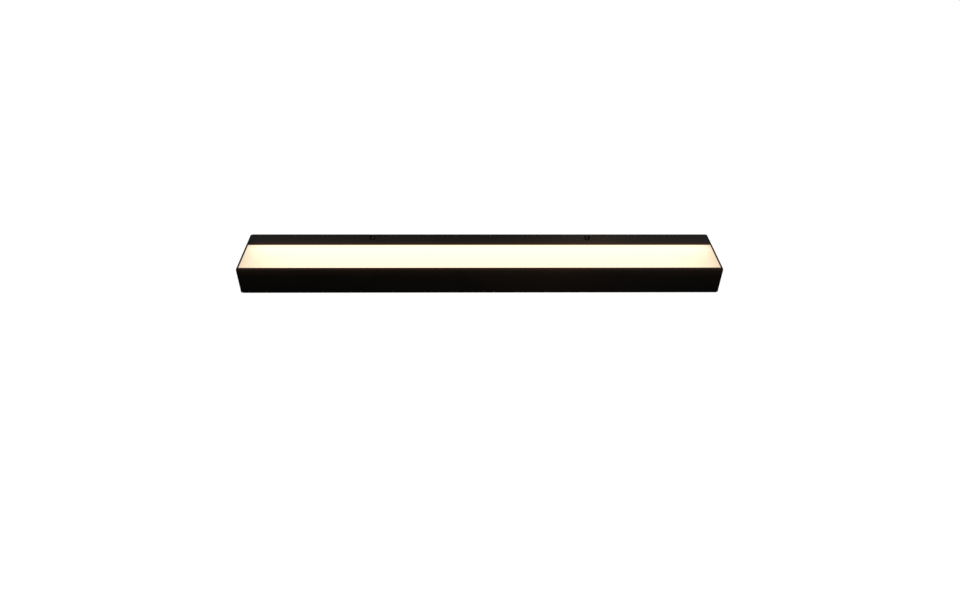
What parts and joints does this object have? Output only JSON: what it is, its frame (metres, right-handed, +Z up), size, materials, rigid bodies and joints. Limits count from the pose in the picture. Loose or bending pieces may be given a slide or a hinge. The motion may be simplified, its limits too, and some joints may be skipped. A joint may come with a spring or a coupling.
{
  "type": "vanity light bar",
  "caption": "Straight box-section LED wall light with a flush opal panel in its upper face, on a slotted wall bracket hidden behind it.",
  "frame": {"origin": "on the wall plane at the centre of the bracket's cable hole: the bar's mid-length and mid-height", "axes": "+X along the bar, +Y into the wall, +Z up, towards the face with the light panel"},
  "size_m": [0.6, 0.08, 0.0386],
  "materials": {
    "black_powder_coat": "matte fine-texture powder coat",
    "opal_diffuser": "opal, lit from behind",
    "white_reflector": "satin white",
    "white_board": "white solder mask",
    "led_phosphor": "amber phosphor",
    "white_nylon": "satin",
    "thermal_tape": "soft, matte",
    "black_rubber": "matte",
    "black_screw": "black zinc plated",
    "zinc_steel": "bright zinc plated",
    "tinned_copper": "tin plated",
    "brass": "turned",
    "bushing_nylon": "satin",
    "driver_plastic": "fine texture",
    "circuit_board": "green solder mask",
    "ferrite": "sintered, with yellow tape",
    "capacitor_sleeve": "shrunk sleeve",
    "component_body": "moulded",
    "brown_insulation": "satin",
    "blue_insulation": "satin",
    "green_yellow_insulation": "satin, striped",
    "red_insulation": "satin",
    "black_insulation": "satin",
    "aluminium_cover": "mill finish"
  },
  "bodies": {
    "root": {"housing": "black_powder_coat", "end_plate_left": "black_powder_coat", "end_plate_right": "black_powder_coat", "diffuser": "opal_diffuser", "reflector": "white_reflector", "led_board_left": "white_board", "led_board_right": "white_board", "led_chips": "led_phosphor", "board_connectors": "white_nylon", "terminal_block": "white_nylon", "thermal_tapes": "thermal_tape", "diffuser_seals": "black_rubber", "lead_grommet": "black_rubber", "end_gasket_left": "black_rubber", "end_gasket_right": "black_rubber", "end_screws_left": "black_screw", "end_screws_right": "black_screw", "fixing_screws": "black_screw", "wall_bracket": "zinc_steel", "bracket_nuts": "zinc_steel", "board_screws": "zinc_steel", "driver_screws": "zinc_steel", "terminal_screws": "zinc_steel", "terminal_fixing_screw": "zinc_steel", "earth_screw": "zinc_steel", "earth_washer": "zinc_steel", "rear_cover_screws": "zinc_steel", "earth_ring": "tinned_copper", "terminal_clamps": "brass", "cable_bushing": "bushing_nylon", "driver_case": "driver_plastic", "driver_lid": "driver_plastic", "driver_board": "circuit_board", "driver_transformer": "ferrite", "driver_capacitors": "capacitor_sleeve", "driver_parts": "component_body", "live_wire": "brown_insulation", "neutral_wire": "blue_insulation", "earth_wire": "green_yellow_insulation", "led_wire_positive": "red_insulation", "led_wire_negative": "black_insulation", "rear_cover_left": "aluminium_cover", "rear_cover_right": "aluminium_cover"}
  },
  "joints": []
}
